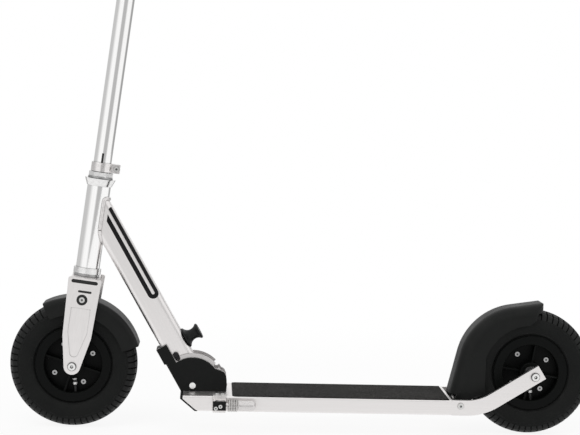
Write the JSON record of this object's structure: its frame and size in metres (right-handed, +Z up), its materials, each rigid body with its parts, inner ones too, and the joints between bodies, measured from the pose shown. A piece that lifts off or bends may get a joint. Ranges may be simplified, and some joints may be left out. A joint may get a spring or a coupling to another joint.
{
  "type": "kick scooter",
  "caption": "Folding kick scooter with air-filled wheels, a flat deck, a sprung fold lock, a height-adjustable handlebar, a rear fender brake and a side stand.",
  "frame": {"origin": "on the ground midway between the axles, in the mid-plane", "axes": "+X forward, +Y to the rider's left, +Z up"},
  "size_m": [0.9244, 0.51, 1.019],
  "materials": {
    "tyre": "moulded rubber",
    "inner_tube": "smooth rubber",
    "rim": "satin black",
    "fasteners": "zinc plated",
    "chrome": "polished",
    "bearing": "ground",
    "bush": "turned",
    "deck_silver": "satin",
    "fork_silver": "satin",
    "tube_silver": "polished",
    "black_metal": "satin black",
    "clamp_silver": "satin",
    "spring": "drawn wire",
    "fender": "fine grain black",
    "black_plastic": "moulded black",
    "shoe": "stamped",
    "grip_tape": "coarse grit",
    "grip": "soft rubber",
    "stand": "cast"
  },
  "bodies": {
    "deck": {"deck_extrusion": "deck_silver", "deck_nose_cap": "black_plastic", "grip_tape": "grip_tape", "fold_bracket": "black_metal", "bracket_bolts": "fasteners", "fold_pivot_bolt": "fasteners", "rear_arm_left": "deck_silver", "rear_arm_right": "deck_silver", "fender_pivot_bolt": "fasteners", "fender_spring": "spring", "rear_axle": "fasteners", "rear_axle_spacers": "fasteners", "kickstand_mount": "black_metal", "kickstand_bolts": "fasteners"},
    "rear_wheel": {"rear_tyre": "tyre", "rear_inner_tube": "inner_tube", "rear_rim_left": "rim", "rear_rim_right": "rim", "rear_rim_bolts": "fasteners", "rear_valve": "chrome", "rear_wheel_bearings": "bearing"},
    "rear_brake": {"rear_fender": "fender", "brake_shoe": "shoe"},
    "kickstand": {"kickstand_leg": "stand", "kickstand_spring": "spring"},
    "front_frame": {"down_tube": "tube_silver", "head_tube": "tube_silver", "headset_cups": "chrome", "pivot_bushes": "bush", "lock_spring": "spring"},
    "fold_lock": {"lock_pin": "bearing", "lock_carriage": "bearing", "release_knob": "black_plastic"},
    "fork": {"fork_crown": "fork_silver", "fork_leg_left": "fork_silver", "fork_leg_right": "fork_silver", "front_fender": "fender", "front_fender_bolts": "fasteners", "front_axle": "fasteners", "front_axle_spacers": "fasteners", "headset_bearings": "bearing", "headset_locknut": "chrome", "lower_tube": "tube_silver", "stem_collar": "clamp_silver", "pinch_bolt": "fasteners", "height_clamp": "clamp_silver", "clamp_skewer": "fasteners"},
    "front_wheel": {"front_tyre": "tyre", "front_inner_tube": "inner_tube", "front_rim_left": "rim", "front_rim_right": "rim", "front_rim_bolts": "fasteners", "front_valve": "chrome", "front_wheel_bearings": "bearing"},
    "clamp_lever": {"clamp_lever": "clamp_silver"},
    "handlebar": {"upper_tube": "tube_silver", "crossbar": "tube_silver", "grip_left": "grip", "grip_right": "grip"},
    "height_button": {"height_button": "chrome"}
  },
  "joints": [
    {"name": "fold", "type": "hinge", "parent": "deck", "child": "front_frame", "pos_m": [0.17445, 0, 0.07], "axis": [0, -1, 0], "range_deg": [0, 80]},
    {"name": "lock_slide", "type": "slide", "parent": "front_frame", "child": "fold_lock", "axis": [0.5, 0, 0.866], "range_m": [-0.0065, 0], "stiffness_N_per_m": 700, "springref_m": -0.02, "deforming": ["lock_spring"]},
    {"name": "steer", "type": "hinge", "parent": "front_frame", "child": "fork", "pos_m": [0.36225, 0, 0.1], "axis": [-0.1219, 0, 0.9925], "continuous": true},
    {"name": "front_spin", "type": "hinge", "parent": "fork", "child": "front_wheel", "pos_m": [0.36225, 0, 0.1], "axis": [0, 1, 0], "continuous": true},
    {"name": "rear_spin", "type": "hinge", "parent": "deck", "child": "rear_wheel", "pos_m": [-0.36225, 0, 0.1], "axis": [0, 1, 0], "continuous": true},
    {"name": "brake_press", "type": "hinge", "parent": "deck", "child": "rear_brake", "pos_m": [-0.24595, 0, 0.052], "axis": [0, -1, 0], "range_deg": [0, 1.38], "stiffness_Nm_per_rad": 40, "springref_deg": -1.15},
    {"name": "kickstand_swing", "type": "hinge", "parent": "deck", "child": "kickstand", "pos_m": [0.13025, 0.0728, 0.0494], "axis": [0, -1, 0], "range_deg": [0, 58]},
    {"name": "height", "type": "slide", "parent": "fork", "child": "handlebar", "axis": [-0.1219, 0, 0.9925], "range_m": [-0.22, 0]},
    {"name": "clamp_swing", "type": "hinge", "parent": "fork", "child": "clamp_lever", "pos_m": [0.26086, 0.0129, 0.73291], "axis": [-0.1219, 0, 0.9925], "range_deg": [0, 120]},
    {"name": "button_press", "type": "slide", "parent": "handlebar", "child": "height_button", "axis": [0, 1, 0], "range_m": [0, 0.0035], "stiffness_N_per_m": 400, "springref_m": 0.008}
  ]
}
